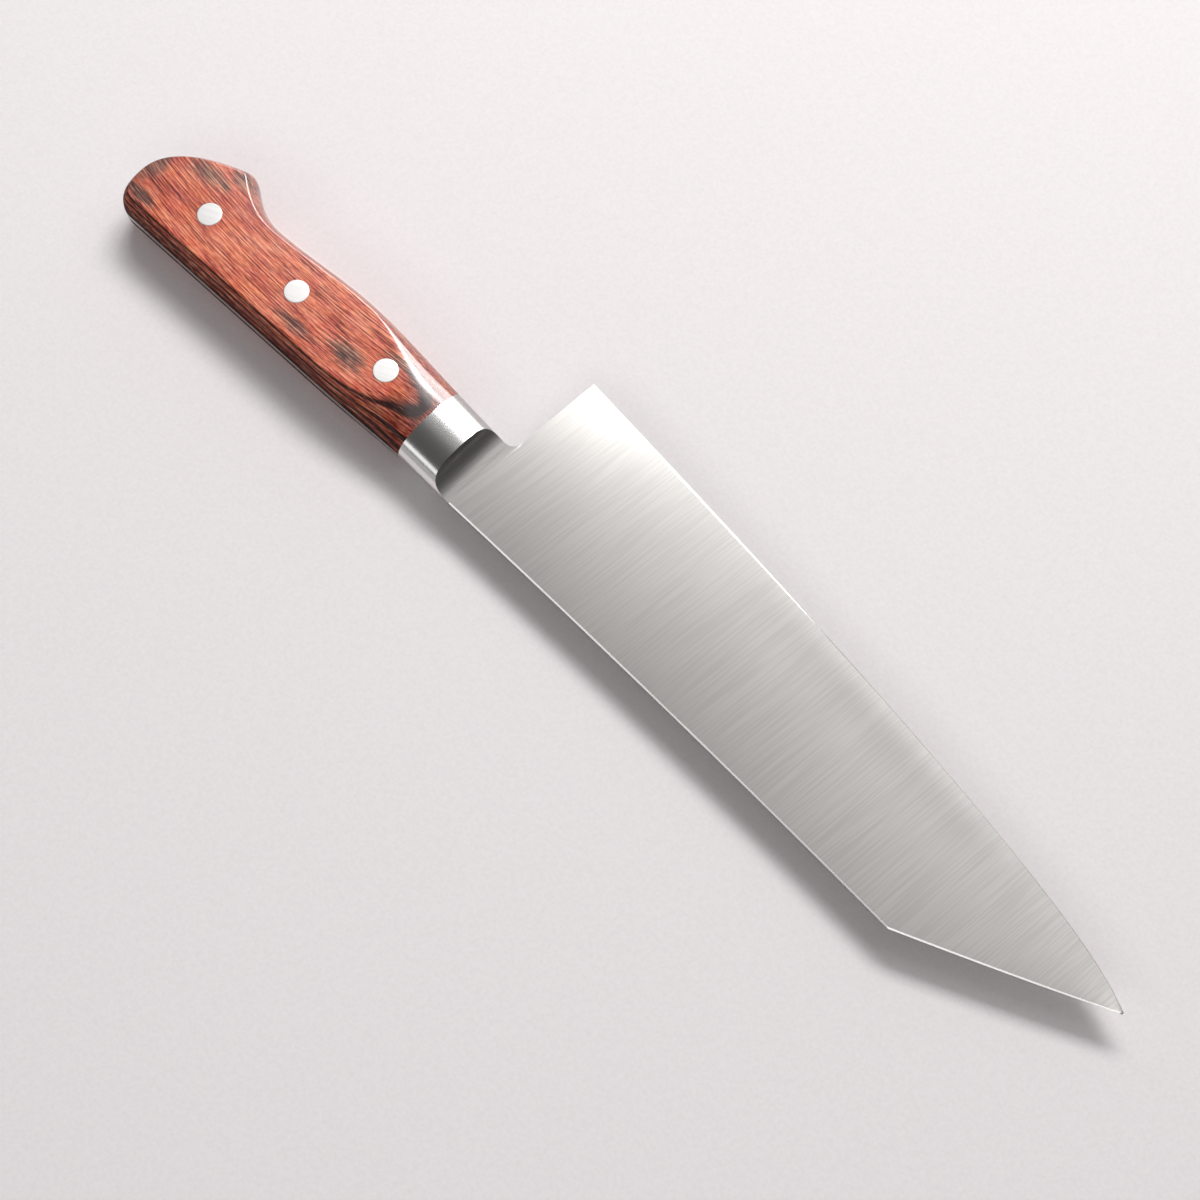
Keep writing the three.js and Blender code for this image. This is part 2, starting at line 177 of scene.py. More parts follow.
def evenly(pieces, count):
    fine = np.concatenate([[bezier(c, t) for t in np.linspace(0, 1, curveSamples)] for c in pieces])
    steps = np.linalg.norm(np.diff(fine, axis=0), axis=1)
    along = np.concatenate([[0], np.cumsum(steps)])
    keep = np.concatenate([[True], steps > tiny])
    wanted = np.linspace(0, along[-1], count + 1)
    return np.stack([np.interp(wanted, along[keep], fine[keep, k]) for k in range(2)], 1)


def buttChains(count):
    s = handle
    butt = -s["length"]
    hook = np.array(s["hook"])
    flank = np.array(s["flankLead"])
    top = np.array(s["topLead"])
    flankEnd = hook + (flank - hook) / np.linalg.norm(flank - hook) * s["hookRounding"]
    topStart = hook + (top - hook) / np.linalg.norm(top - hook) * s["hookRounding"]
    end = (butt, s["endDepth"])
    finger = [
        [(s["waistX"], s["waist"]), flank, flankEnd],
        [flankEnd, hook, topStart],
        [topStart, top, (butt, s["crownDepth"]), end],
    ]
    cornerX = butt + s["cornerLength"]
    spine = [
        [(s["waistX"], -s["spineDepth"]), (cornerX, -s["spineDepth"])],
        [(cornerX, -s["spineDepth"]), (cornerX - s["cornerLead"], -s["spineDepth"]),
         (butt, s["endDepth"] - s["cornerRise"]), end],
    ]
    return evenly(spine, count), evenly(finger, count)


def inwardOf(chain, sign):
    run = np.gradient(chain, axis=0)
    run /= np.linalg.norm(run, axis=1)[:, None]
    return np.stack([sign * run[:, 1], -sign * run[:, 0]], 1)


def handleChains():
    s = handle
    xs = list(np.linspace(0, -s["noseLength"], s["steps"]["nose"], endpoint=False))
    xs += list(np.linspace(-s["noseLength"], s["waistX"], s["steps"]["grip"], endpoint=False))
    spineRear, fingerRear = buttChains(s["steps"]["butt"])
    spine = np.concatenate([[(x, gripSpine(x)) for x in xs], spineRear])
    finger = np.concatenate([[(x, gripFinger(x)) for x in xs], fingerRear])
    spineIn = inwardOf(spine, 1)
    fingerIn = inwardOf(finger, -1)
    spineIn[:len(xs)] = (0, 1)
    fingerIn[:len(xs)] = (0, -1)
    spineIn[-1] = (1, 0)
    fingerIn[-1] = (1, 0)
    return spine, finger, spineIn, fingerIn


spineChain, fingerChain, spineInward, fingerInward = handleChains()


# scales: sides that round in to a flat face, and a nose that falls to the bolster's oval
scales = {
    "sideInset": 2.6,
    "sidePower": 2.5,
    "noseFall": 0.25,
    "crownAtJoint": knifeBox("bolster_left")[1].z,
    "ovalPower": 2.4,
    # how softly the sides run into the flat face
    "edgeSoft": 0.1,
    "noseSoft": 0.65,
    "softRamp": 1.5,
    "softReach": 5.0,
    "levels": 44,
    "headGap": 0.03,
    "hookWindow": 45,
}


def crownHeight(distance, halfWidth):
    s = scales
    gripCrown = handle["face"] * (halfWidth / s["sideInset"]) ** (1 / s["sidePower"])
    if distance >= handle["noseLength"]:
        return gripCrown
    rest = gripCrown - s["crownAtJoint"] - s["noseFall"] * handle["noseLength"]
    share = distance / handle["noseLength"]
    return s["crownAtJoint"] + s["noseFall"] * distance + rest * share**2


def ribProfile(distance, halfWidth):
    s = scales
    nose = max(0.0, 1 - distance / handle["noseLength"])
    acrossPower = lerp(1.0, s["ovalPower"], nose)
    heightPower = lerp(s["sidePower"], s["ovalPower"], nose)
    crown = crownHeight(distance, halfWidth)
    base = handle["tangHalf"]
    face = handle["face"]
    soft = lerp(s["edgeSoft"], s["noseSoft"], smooth(s["softRamp"] * nose))
    top = min(face + s["softReach"] * soft, crown)

    def reach(z):
        return max(0.0, 1 - (z / crown) ** heightPower) ** (1 / acrossPower)

    def inset(z):
        return halfWidth * (1 - reach(z) / reach(base))

    profile = []
    for level in range(s["levels"] + 1):
        z = base + (top - base) * math.sin(math.pi / 2 * level / s["levels"])
        profile.append((inset(z), face - soft * math.log1p(math.exp((face - z) / soft))))
    return profile


# where an inset outline crosses itself at the hook, the loop closes to the crossing point
def trimLoop(chain, around):
    best = None
    window = scales["hookWindow"]
    for a in range(max(0, around - window), around):
        for b in range(around, min(len(chain) - 2, around + window)):
            p, r = chain[a], chain[a + 1] - chain[a]
            q, t = chain[b], chain[b + 1] - chain[b]
            cross = r[0] * t[1] - r[1] * t[0]
            if b <= a + 1 or abs(cross) < tiny:
                continue
            d = q - p
            u = (d[0] * t[1] - d[1] * t[0]) / cross
            v = (d[0] * r[1] - d[1] * r[0]) / cross
            if 0 <= u <= 1 and 0 <= v <= 1 and best is None:
                best = (a, b, p + u * r)
    if best:
        chain[best[0] + 1:best[1] + 1] = best[2]
    return chain


def scaleRings():
    gripHalf = (handle["waist"] + handle["spineDepth"]) / 2
    profiles = []
    for (x, y), (_, fingerY) in zip(spineChain, fingerChain):
        half = (fingerY - y) / 2 if x > handle["waistX"] else gripHalf
        profiles.append(ribProfile(max(0.0, -x), half))
    profiles = np.array(profiles)
    hookIndex = int(np.argmax(fingerChain[:, 1]))
    spineRings, fingerRings = [], []
    for level in range(profiles.shape[1]):
        insets = profiles[:, level, 0][:, None]
        heights = profiles[:, level, 1][:, None]
        finger = trimLoop(fingerChain + fingerInward * insets, hookIndex)
        spineRings.append(np.hstack([spineChain + spineInward * insets, heights]))
        fingerRings.append(np.hstack([finger, heights]))
    return spineRings, fingerRings


def makeScale(name, node, side):
    skin = Skin()
    spineRings, fingerRings = scaleRings()
    flip = np.array([1, 1, side])
    spineRings = [ring * flip for ring in spineRings]
    fingerRings = [ring * flip for ring in fingerRings]
    order = 1 if side > 0 else -1
    for low, high in zip(spineRings, spineRings[1:]):
        skin.strip(*(low, high)[::-order])
    for low, high in zip(fingerRings, fingerRings[1:]):
        skin.strip(*(low, high)[::order])
    skin.strip(*(spineRings[-1], fingerRings[-1])[::-order])
    skin.strip(*(spineRings[0], fingerRings[0])[::order])
    front = [ring[0] for ring in spineRings] + [ring[0] for ring in fingerRings[::-1]]
    skin.face(*front[::-order])
    made = skin.piece(name, [node], "scale_wood")
    for rivet in rivetNames:
        drillHead(made, rivet, side)
    return made


# a head's seat in the scale's face
def drillHead(piece, rivet, side):
    low, high = knifeBox("rivet_" + rivet + "_barrel")
    radius = (high.x - low.x) / 2 + scales["headGap"]
    depth = rivets["headThickness"]
    face = handle["face"] * side
    bpy.ops.mesh.primitive_cylinder_add(
        vertices=rivets["facets"], radius=radius * mm, depth=2 * depth * mm,
        location=toFrame([((low.x + high.x) / 2, 0, face)])[0])
    cutter = bpy.context.object
    cut = piece.modifiers.new("headSeat", "BOOLEAN")
    cut.object = cutter
    cut.operation = "DIFFERENCE"
    cut.solver = "EXACT"
    bpy.context.view_layer.objects.active = piece
    bpy.ops.object.modifier_apply(modifier="headSeat")
    bpy.data.objects.remove(cutter)


# two-part rivets, each shown as one spool with its heads flush in both scales
rivets = {
    "headThickness": 3.0,
    "shank": 2.3,
    "proud": 0.02,
    "edge": 0.12,
    "edgeSteps": 5,
    # fall of the head from its middle, and the share of it that is reached half way out and at the edge
    "dome": 0.01,
    "domeShares": (0.2, 0.8),
    "domeEnd": 0.3,
    "facets": 96,
    "sharpAngle": 50,
}
rivetNames = ["front", "middle", "rear"]


def makeRivet(rivet):
    s = rivets
    low, high = knifeBox("rivet_" + rivet + "_barrel")
    radius = (high.x - low.x) / 2
    x = (high.x + low.x) / 2
    top = handle["face"] + s["proud"]
    # slightly domed head with a rounded edge
    half = [(0, top)]
    for r, share in zip((radius / 2, radius - s["domeEnd"]), s["domeShares"]):
        half.append((r, top - share * s["dome"]))
    for a in np.linspace(0, math.pi / 2, s["edgeSteps"]):
        inward = s["edge"] * (1 - math.sin(a))
        down = s["dome"] + s["edge"] * (1 - math.cos(a))
        half.append((radius - inward, top - down))
    half += [(radius, top - s["headThickness"]), (s["shank"], top - s["headThickness"])]
    profile = half + [(r, -z) for r, z in half[::-1]]
    skin = Skin()
    angles = [2 * math.pi * i / s["facets"] for i in range(s["facets"] + 1)]
    rings = [[(x + r * math.cos(a), r * math.sin(a), z) for r, z in profile] for a in angles]
    for here, following in zip(rings, rings[1:]):
        skin.strip(following, here)
    nodes = ["rivet_" + rivet + "_barrel", "rivet_" + rivet + "_stem"]
    return skin.piece("rivet_" + rivet, nodes, "rivet_steel", s["sharpAngle"])


# bolster: an oval sleeve over the neck, with a round scoop cut into each face in front
bolster = {
    "toeX": knifeBox("bolster_left")[1].x,
    "toeSpine": 13.65,
    "toeFinger": 8.9,
    "scoopLength": 9.0,
    "scoopDepth": 6.0,
    "scoopReach": 3.3,
    "scoopSink": 0.12,
    "scoopSlope": 0.015,
    "around": 120,
    "along": 30,
    "scoopAcross": 24,
    "sharpAngle": 40,
}


def bolsterPoint(x, reach):
    s = bolster
    share = min(1.0, x / s["toeX"])
    spine = -lerp(handle["jointSpine"], s["toeSpine"], share)
    finger = lerp(handle["jointFinger"], s["toeFinger"], share)
    return (spine + finger) / 2 + (finger - spine) / 2 * reach


def scoopX(z):
    s = bolster
    end = s["toeX"] + s["scoopReach"]
    fall = 1 - (max(0.0, abs(z) - handle["tangHalf"]) + s["scoopSink"]) / s["scoopDepth"]
    return end - s["scoopLength"] * math.sqrt(1 - fall**2)


def makeBolster():
    s = bolster
    skin = Skin()
    crown = scales["crownAtJoint"]
    power = scales["ovalPower"]
    foot = (1 - (handle["tangHalf"] / crown) ** power) ** (1 / power)

    def reachAt(z):
        return max(0.0, 1 - (abs(z) / crown) ** power) ** (1 / power) / foot

    quarter = [crown * math.sin(math.pi / 2 * i / s["around"]) for i in range(s["around"] + 1)]
    ring = [(1, z) for z in quarter] + [(-1, z) for z in quarter[-2::-1]]
    ring += [(-1, -z) for z in quarter[1:]] + [(1, -z) for z in quarter[-2::-1]]

    def line(sign, z):
        end = scoopX(z)
        xs = [end * i / s["along"] for i in range(s["along"] + 1)]
        return [(x, bolsterPoint(x, sign * reachAt(z)), z) for x in xs]

    lines = [line(sign, z) for sign, z in ring]
    for here, following in zip(lines, lines[1:]):
        skin.strip(following, here)
    for side in (1, -1):
        levels = [handle["tangHalf"]] + [z for z in quarter if z >= handle["tangHalf"]] + [crown]
        rows = []
        for z in levels:
            x = scoopX(z)
            ys = [bolsterPoint(x, lerp(-1, 1, i / s["scoopAcross"]) * reachAt(z))
                  for i in range(s["scoopAcross"] + 1)]
            rows.append([(x, y, side * z) for y in ys])
        for here, following in zip(rows, rows[1:]):
            skin.strip(*(here, following)[::side])
    made = skin.piece("bolster", ["bolster_left", "bolster_right"], "bolster_steel", s["sharpAngle"])
    # the sleeve is polished and the scoop satin
    for face in made.data.polygons:
        face.material_index = int(face.normal.x > s["scoopSlope"])
    return made


# blade: ground from spine to edge, with an eased back, an angled tip and a fine edge bevel
blade = {
    "heel": (23.5, 37.9),
    "heelLean": 3.7,
    "neckSpine": 13.65,
    "neckFinger": 8.9,
    "tip": (knifeBox("blade")[1].x, 4.3),
    "tipCorner": (177.4, -19.45),
    "tipBulge": 0.7,
    "tipBulgePlace": 0.65,
    "spineBow": (99.7, -15.07),
    "edgeRun": (211.5, 18.7),
    "edgeSweep": (8.5, 3.5),
    "cornerHalf": 0.7,
    "tipHalf": 0.3,
    "shoulderHalf": {"heel": 0.3, "middle": 0.1, "tip": 0.08},
    "shoulderFade": 120.0,
    "bevelAngle": {"heel": 18.0, "tip": 33.0},
    # low swell along the edge, in front of the middle
    "swell": 0.1,
    "swellAt": 2.0,
    "swellReach": 6.5,
    "swellFrom": (70.0, 140.0),
    "swellUntil": (165.0, 205.0),
    "heelGrind": 3.0,
    "bladeGrind": 1.3,
    "grindBlend": 45.0,
    "choil": 3.4,
    # chamfer along the back: breadth, fall, and the most of it that thin places take
    "spineEase": 0.45,
    "spineDrop": 0.26,
    "easeLimit": 1.3,
    "depthLimit": 3,
    "chamferNormal": (-0.25, 0.5),
    # the tang is a little narrower than the bolster around it
    "tangInside": 0.06,
    "tangFrom": 0.5,
    "steps": {"neck": 14, "back": 130, "tip": 60, "tang": 12, "edge": 3000},
    "crowding": {"back": 1.15, "tip": 1.3},
    "neckRows": 22,
    "bladeRows": 46,
    "easeRows": 1,
    "sharpAngle": 14,
}


def bladeCurves():
    s = blade
    heelSpine = np.array((s["heel"][0] - s["heelLean"], -s["neckSpine"]))
    tip = np.array(s["tip"])
    corner = np.array(s["tipCorner"])
    along = tip - corner
    outward = np.array((along[1], -along[0])) / np.linalg.norm(along)
    bulge = corner + along * s["tipBulgePlace"] + outward * s["tipBulge"]
    back = [heelSpine, s["spineBow"], corner]
    angled = [corner, bulge, tip]
    sweep = tip + np.array((-1, 1)) * s["edgeSweep"]
    edge = [s["heel"], s["edgeRun"], sweep, tip]
    return heelSpine, back, angled, edge


def backHalf(x, heelX):
    s = blade
    cornerX = s["tipCorner"][0]
    if x <= cornerX:
        return lerp(handle["tangHalf"], s["cornerHalf"], max(0.0, (x - heelX) / (cornerX - heelX)))
    return lerp(s["cornerHalf"], s["tipHalf"], (x - cornerX) / (s["tip"][0] - cornerX))


# half thickness behind the edge bevel, heavier at the heel
def shoulderHalf(x, heelX):
    s = blade
    along = (x - heelX) / s["shoulderFade"]
    toTip = (x - heelX - s["shoulderFade"]) / (s["tip"][0] - heelX - s["shoulderFade"])
    heavy = lerp(s["shoulderHalf"]["heel"], s["shoulderHalf"]["middle"], min(1.0, along))
    return lerp(heavy, s["shoulderHalf"]["tip"], max(0.0, toTip))


def bevelHeight(x, heelX):
    s = blade
    along = (x - heelX) / (s["tip"][0] - heelX)
    angle = lerp(s["bevelAngle"]["heel"], s["bevelAngle"]["tip"], along)
    return shoulderHalf(x, heelX) / math.tan(math.radians(angle))


# a column of points over the blade's left face, from the middle of the back to the edge
def bladeColumn(spine, edge, heelX, shares):
    s = blade
    depth = np.linalg.norm(edge - spine)
    if depth < tiny:
        return [(*spine, 0.0)] * (len(shares) + s["easeRows"] + 2)
    thick = backHalf(spine[0], heelX)
    easing = min(s["spineEase"], s["easeLimit"] * thick, depth / s["depthLimit"])
    shoulder = min(thick, shoulderHalf(spine[0], heelX))
    bevel = min(bevelHeight(spine[0], heelX), depth / s["depthLimit"])
    blend = min(1.0, (spine[0] - heelX) / s["grindBlend"])
    power = lerp(s["heelGrind"], s["bladeGrind"], smooth(blend))
    direction = (edge - spine) / depth
    body = depth - bevel
    rise = s["swell"] * fadeIn(spine[0], *s["swellFrom"]) * (1 - fadeIn(spine[0], *s["swellUntil"]))

    def half(a):
        swell = rise * math.exp(-((body - a - s["swellAt"]) / s["swellReach"]) ** 2)
        return lerp(thick, shoulder, (a / body) ** power) + swell

    column = []
    for i in range(s["easeRows"] + 1):
        a = easing * i / s["easeRows"]
        column.append((a, half(a) - (easing - a) * s["spineDrop"] / s["spineEase"]))
    for share in shares:
        a = easing + (body - easing) * share
        column.append((a, half(a)))
    column.append((depth, 0.0))
    return [(*(spine + direction * a), z) for a, z in column]


# columns from the heel to the tip; one row ends where the choil meets the heel
def bladeColumns(heelLine, choilShare):
    s = blade
    heelSpine, back, angled, edge = bladeCurves()
    heel = np.array(s["heel"])
    edgeFine = np.array([bezier(edge, t) for t in np.linspace(0, 1, s["steps"]["edge"])])

    def edgeAt(x):
        return np.array((x, np.interp(x, edgeFine[:, 0], edgeFine[:, 1])))

    length = np.linalg.norm(heelLine)
    body = length - bevelHeight(heelSpine[0], heelSpine[0])
    split = (choilShare * length - s["spineEase"]) / (body - s["spineEase"])
    neckShares = [split * i / s["neckRows"] for i in range(1, s["neckRows"] + 1)]
    rest = s["bladeRows"] - s["neckRows"]
    shares = neckShares + [lerp(split, 1, i / rest) for i in range(1, rest + 1)]
    columns = []
    for i in range(s["steps"]["back"]):
        t = (i / s["steps"]["back"]) ** s["crowding"]["back"]
        spine = bezier(back, t)
        share = (spine[0] - heelSpine[0]) / (s["tipCorner"][0] - heelSpine[0])
        target = heel if i == 0 else edgeAt(spine[0] + s["heelLean"] * (1 - share))
        columns.append(bladeColumn(spine, target, heelSpine[0], shares))
    for i in range(s["steps"]["tip"] + 1):
        t = 1 - (1 - i / s["steps"]["tip"]) ** s["crowding"]["tip"]
        spine = bezier(angled, t)
        target = edgeAt(spine[0]) if i < s["steps"]["tip"] else spine
        columns.append(bladeColumn(spine, target, heelSpine[0], shares))
    return columns


# neck from under the bolster to the heel, with the choil's round on the finger side
def neckColumns(heelSpine, heelLine, choilShare, heelColumn):
    s = blade
    toeX = bolster["toeX"]
    choilTop = heelSpine + heelLine * choilShare
    heelDepth = choilShare * np.linalg.norm(heelLine)
    cornerX = choilTop[0] - s["choil"] * s["heelLean"] / heelLine[1]
    roundStart = max(toeX, cornerX - s["choil"])
    finger = evenly([[(toeX, s["neckFinger"]), (roundStart, s["neckFinger"])],
                     [(roundStart, s["neckFinger"]), (cornerX, s["neckFinger"]), choilTop]],
                    s["steps"]["neck"])
    neck = []
    for i in range(s["steps"]["neck"]):
        share = i / s["steps"]["neck"]
        spineX = lerp(toeX, heelSpine[0], share)
        start = np.array((spineX, -s["neckSpine"]))
        direction = finger[i] - start
        rows = []
        for x, y, z in heelColumn:
            a = np.linalg.norm(np.array((x, y)) - heelSpine) / heelDepth
            chamfer = heelColumn[s["easeRows"]][2] - z if a * heelDepth < s["spineEase"] else 0.0
            rows.append((*(start + direction * a), lerp(handle["tangHalf"] - chamfer, z, smooth(share))))
        neck.append(rows)
    return neck + [heelColumn]


# pairs of points on the spine and finger side of the tang, from the butt to the bolster's toe
def tangPairs():
    s = blade
    pairs = list(zip(spineChain[::-1], fingerChain[::-1]))
    for x in np.linspace(s["tangFrom"], bolster["toeX"], s["steps"]["tang"]):
        pairs.append((np.array((x, bolsterPoint(x, -1) + s["tangInside"])),
                      np.array((x, bolsterPoint(x, 1) - s["tangInside"]))))
    return pairs


def makeBlade():
    s = blade
    skin = Skin()
    heelSpine = bladeCurves()[0]
    heelLine = np.array(s["heel"]) - heelSpine
    choilShare = (s["neckFinger"] + s["choil"] + s["neckSpine"]) / heelLine[1]
    columns = bladeColumns(heelLine, choilShare)
    heelColumn = columns[0]
    neckCount = s["easeRows"] + 1 + s["neckRows"]
    neck = neckColumns(heelSpine, heelLine, choilShare, heelColumn[:neckCount])
    tang = tangPairs()
    half = handle["tangHalf"]
    plates = [[(*a, half), (*b, half)] for a, b in tang]
    for side in (1, -1):
        def faced(rows):
            return [(x, y, z * side) for x, y, z in rows]

        def joined(here, following):
            skin.strip(*((faced(following), faced(here))[::side]))

        for rows in (columns, neck, plates):
            for here, following in zip(rows, rows[1:]):
                joined(here, following)

    def wall(rows, turn=1):
        below = [(x, y, -z) for x, y, z in rows]
        skin.strip(*((rows, below)[::turn]))

    for rows in (columns, neck):
        wall([column[0] for column in rows], -1)
    wall([column[-1] for column in neck])
    wall(heelColumn[neckCount - 1:])
    wall([spine for spine, _ in plates], -1)
    wall([finger for _, finger in plates])
    made = skin.piece("blade_body", ["blade"], "blade_steel", s["sharpAngle"])
    # the chamfer along the back is polished
    toSpine, upright = s["chamferNormal"]
    for face in made.data.polygons:
        face.material_index = int(face.normal.y < toSpine and abs(face.normal.z) > upright)
    return made


# finishes are wired with a small helper: numbers set a socket, sockets are linked to it
class Wiring:
    def __init__(self, tree):
        self.tree = tree

    def put(self, kind, settings=None, sockets=None):
        node = self.tree.nodes.new(kind)
        for name, value in (settings or {}).items():
            setattr(node, name, value)
        for key, value in (sockets or {}).items():
            self.feed(node.inputs[key], value)
        return node

    def feed(self, socket, value):
        if isinstance(value, bpy.types.NodeSocket):
            self.tree.links.new(value, socket)
        else:
            socket.default_value = value

    def math(self, operation, a, b=0.0, c=0.0):
        node = self.put("ShaderNodeMath", {"operation": operation}, {0: a, 1: b, 2: c})
        return node.outputs[0]

    def vector(self, operation, a, b):
        node = self.put("ShaderNodeVectorMath", {"operation": operation}, {0: a, 1: b})
        return node.outputs[1 if operation == "LENGTH" else 0]

    def noise(self, place, detail, roughness=0.5):
        values = {"Vector": place, "Scale": 1.0, "Detail": detail, "Roughness": roughness}
        return self.put("ShaderNodeTexNoise", {}, values).outputs["Fac"]

    def span(self, value, low, high, toLow=0.0, toHigh=1.0):
        ends = {"Value": value, "From Min": low, "From Max": high, "To Min": toLow, "To Max": toHigh}
        node = self.put("ShaderNodeMapRange", {"interpolation_type": "SMOOTHSTEP"}, ends)
        return node.outputs["Result"]

    def ramp(self, value, stops):
        node = self.put("ShaderNodeValToRGB", {}, {"Fac": value})
        band = node.color_ramp
        while len(band.elements) < len(stops):
            band.elements.new(1.0)
        for element, (place, colour) in zip(band.elements, stops):
            element.position = place
            element.color = (*colour, 1)
        return node.outputs["Color"]

    def mix(self, factor, a, b):
        node = self.put("ShaderNodeMix", {"data_type": "RGBA"}, {0: factor, 6: a, 7: b})
        return node.outputs[2]

    # millimetres in the knife's own axes
    def knifePlace(self):
        shift = (-jointX / mm, -lineY / mm, -middleZ / mm)
        sockets = {"Vector": self.put("ShaderNodeTexCoord").outputs["Object"],
                   "Location": shift, "Scale": (1 / mm, 1 / mm, 1 / mm)}
        return self.put("ShaderNodeMapping", {}, sockets).outputs["Vector"]


def newMaterial(name):
    material = bpy.data.materials.new(name)
    material.use_nodes = True
    tree = material.node_tree
    return material, Wiring(tree), tree.nodes["Principled BSDF"]


# colour levels of 0 to 255 as the linear values that sockets take
def linear(*levels):
    shares = [level / 255 for level in levels]
    return tuple(c / 12.92 if c < 0.0405 else ((c + 0.055) / 1.055) ** 2.4 for c in shares)


# fine grinding lines for all the steel: noise drawn out along the lines, singly and in broad bands
brush = {
    "colours": ["Light", "Dark"],
    "values": ["Smooth", "Rough", "Angle", "Lines per mm", "Bands"],
    # cells across and along for each line, and noise detail
    "line": (1.0, 0.02, 0.0),
    "band": (0.07, 0.0015, 1.0),
    "noiseRoughness": 0.6,
    "toneSpan": (0.25, 0.75),
    "roughSpan": (0.7, 0.3),
}


# angle is the lines' lean from the knife's y axis
def makeBrushing():
    s = brush
    tree = bpy.data.node_groups.new("brushing", "ShaderNodeTree")
    for name in s["colours"]:
        tree.interface.new_socket(name, in_out="INPUT", socket_type="NodeSocketColor")
    for name in s["values"]:
        tree.interface.new_socket(name, in_out="INPUT", socket_type="NodeSocketFloat")
    tree.interface.new_socket("Color", in_out="OUTPUT", socket_type="NodeSocketColor")
    tree.interface.new_socket("Roughness", in_out="OUTPUT", socket_type="NodeSocketFloat")
    wire = Wiring(tree)
    given = wire.put("NodeGroupInput").outputs
    result = wire.put("NodeGroupOutput").inputs
    turned = wire.put("ShaderNodeVectorRotate", {"rotation_type": "Z_AXIS"},
                      {"Vector": wire.knifePlace(), "Angle": given["Angle"]}).outputs[0]
    fine = wire.put("ShaderNodeVectorMath", {"operation": "SCALE"},
                    {0: turned, "Scale": given["Lines per mm"]}).outputs[0]

    def streaks(across, along, detail):
        cells = wire.vector("MULTIPLY", fine, (across, along, across))
        return wire.noise(cells, detail, s["noiseRoughness"])

    bands = wire.math("SUBTRACT", streaks(*s["band"]), 0.5)
    mixed = wire.math("MULTIPLY_ADD", bands, given["Bands"], streaks(*s["line"]))
    tone = wire.span(mixed, *s["toneSpan"])
    wire.feed(result["Color"], wire.mix(tone, given["Dark"], given["Light"]))
    spread = wire.math("SUBTRACT", given["Rough"], given["Smooth"])
    rough = wire.math("MULTIPLY_ADD", wire.span(mixed, *s["roughSpan"]), spread, given["Smooth"])
    wire.feed(result["Roughness"], rough)
    return tree


brushing = makeBrushing()

satin = {"light": (0.537, 0.517, 0.5), "dark": (0.475, 0.458, 0.445), "smooth": 0.282, "rough": 0.286,
         "lean": 7.0, "linesPerMm": 2.4, "bands": 0.25}
polished = {"light": (0.76, 0.745, 0.73), "dark": (0.72, 0.705, 0.69), "smooth": 0.2, "rough": 0.21,
            "lean": 90.0, "linesPerMm": 2.0, "bands": 0.3}
whiteSteel = {"light": (0.675, 0.66, 0.65), "dark": (0.617, 0.604, 0.594), "smooth": 0.36, "rough": 0.4,
              "lean": 65.0, "linesPerMm": 2.0, "bands": 0.4}


def brushedSteel(name, finish):
    material, wire, shader = newMaterial(name)
    values = {"Light": (*finish["light"], 1), "Dark": (*finish["dark"], 1), "Smooth": finish["smooth"],
              "Rough": finish["rough"], "Angle": math.radians(finish["lean"]),
              "Lines per mm": finish["linesPerMm"], "Bands": finish["bands"]}
    lines = wire.put("ShaderNodeGroup", {"node_tree": brushing}, values)
    wire.feed(shader.inputs["Base Color"], lines.outputs["Color"])
    wire.feed(shader.inputs["Roughness"], lines.outputs["Roughness"])
    shader.inputs["Metallic"].default_value = 1
    return material


